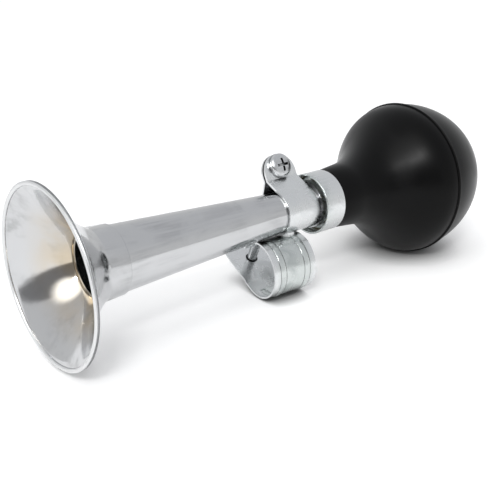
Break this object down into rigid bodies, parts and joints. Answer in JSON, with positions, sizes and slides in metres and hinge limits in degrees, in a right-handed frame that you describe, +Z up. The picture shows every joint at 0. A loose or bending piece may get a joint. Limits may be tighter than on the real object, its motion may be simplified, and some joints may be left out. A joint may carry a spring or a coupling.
{
  "type": "bicycle bulb horn",
  "caption": "Straight bicycle horn with a flared bell, a rubber squeeze bulb and a riveted strap clamp that swivels on the handlebar.",
  "frame": {"origin": "centre of the bounding box's bottom face, on the surface that the horn lies on", "axes": "+X along the horn axis from the bell to the bulb, +Z up, +Y away from the side that the strap's screw head is on"},
  "size_m": [0.2144, 0.0684, 0.0678],
  "materials": {
    "chrome_bell": "bright chrome plate",
    "zinc_sheet": "bright zinc plate",
    "zinc_steel": "bright zinc plate",
    "brass": "turned",
    "black_rubber": "satin moulded",
    "seal_rubber": "matt"
  },
  "bodies": {
    "horn": {"bell": "chrome_bell", "horn_tube": "chrome_bell", "tube_collar": "zinc_sheet", "reed_holder": "brass", "seal_washer": "seal_rubber", "reed_shallot": "brass", "reed_root": "brass", "reed_wedge": "brass"},
    "reed": {"reed_tongue": "brass"},
    "horn_bracket": {"horn_strap": "zinc_sheet", "strap_nut": "zinc_steel", "strap_washer": "zinc_steel", "swivel_rivet": "zinc_steel"},
    "strap_fastener": {"strap_screw": "zinc_steel"},
    "handlebar_clamp": {"handlebar_strap": "zinc_sheet", "handlebar_nut": "zinc_steel", "handlebar_washer": "zinc_steel"},
    "handlebar_fastener": {"handlebar_screw": "zinc_steel"},
    "bulb_neck": {"ferrule": "zinc_sheet", "neck_spigot": "brass", "bulb_front": "black_rubber"},
    "bulb_back": {"bulb_rear": "black_rubber"}
  },
  "joints": [
    {"name": "bracket_roll", "type": "hinge", "parent": "horn", "child": "horn_bracket", "pos_m": [0.00195, 0, 0.03361], "axis": [1, 0, 0], "continuous": true},
    {"name": "clamp_swivel", "type": "hinge", "parent": "horn_bracket", "child": "handlebar_clamp", "pos_m": [-0.00175, -0.00368, 0.01272], "axis": [0, 0.1734, 0.9849], "range_deg": [-40, 24]},
    {"name": "strap_screw_turn", "type": "hinge", "parent": "horn_bracket", "child": "strap_fastener", "pos_m": [0.00195, 0.00793, 0.04987], "axis": [0, 0.8988, -0.4384], "continuous": true},
    {"name": "handlebar_screw_turn", "type": "hinge", "parent": "handlebar_clamp", "child": "handlebar_fastener", "pos_m": [-0.00512, 0.01587, 0.00868], "axis": [-0.0506, -0.4286, 0.9021], "continuous": true},
    {"name": "bulb_turn", "type": "hinge", "parent": "horn", "child": "bulb_neck", "pos_m": [0.02075, 0, 0.03361], "axis": [1, 0, 0], "continuous": true},
    {"name": "bulb_squeeze", "type": "slide", "parent": "bulb_neck", "child": "bulb_back", "axis": [-1, 0, 0], "range_m": [0, 0.018], "stiffness_N_per_m": 400, "deforming": ["bulb_front"]},
    {"name": "reed_flex", "type": "hinge", "parent": "horn", "child": "reed", "pos_m": [0.03005, 0, 0.03553], "axis": [0, -1, 0], "range_deg": [0, 1.8], "stiffness_Nm_per_rad": 0.002}
  ]
}
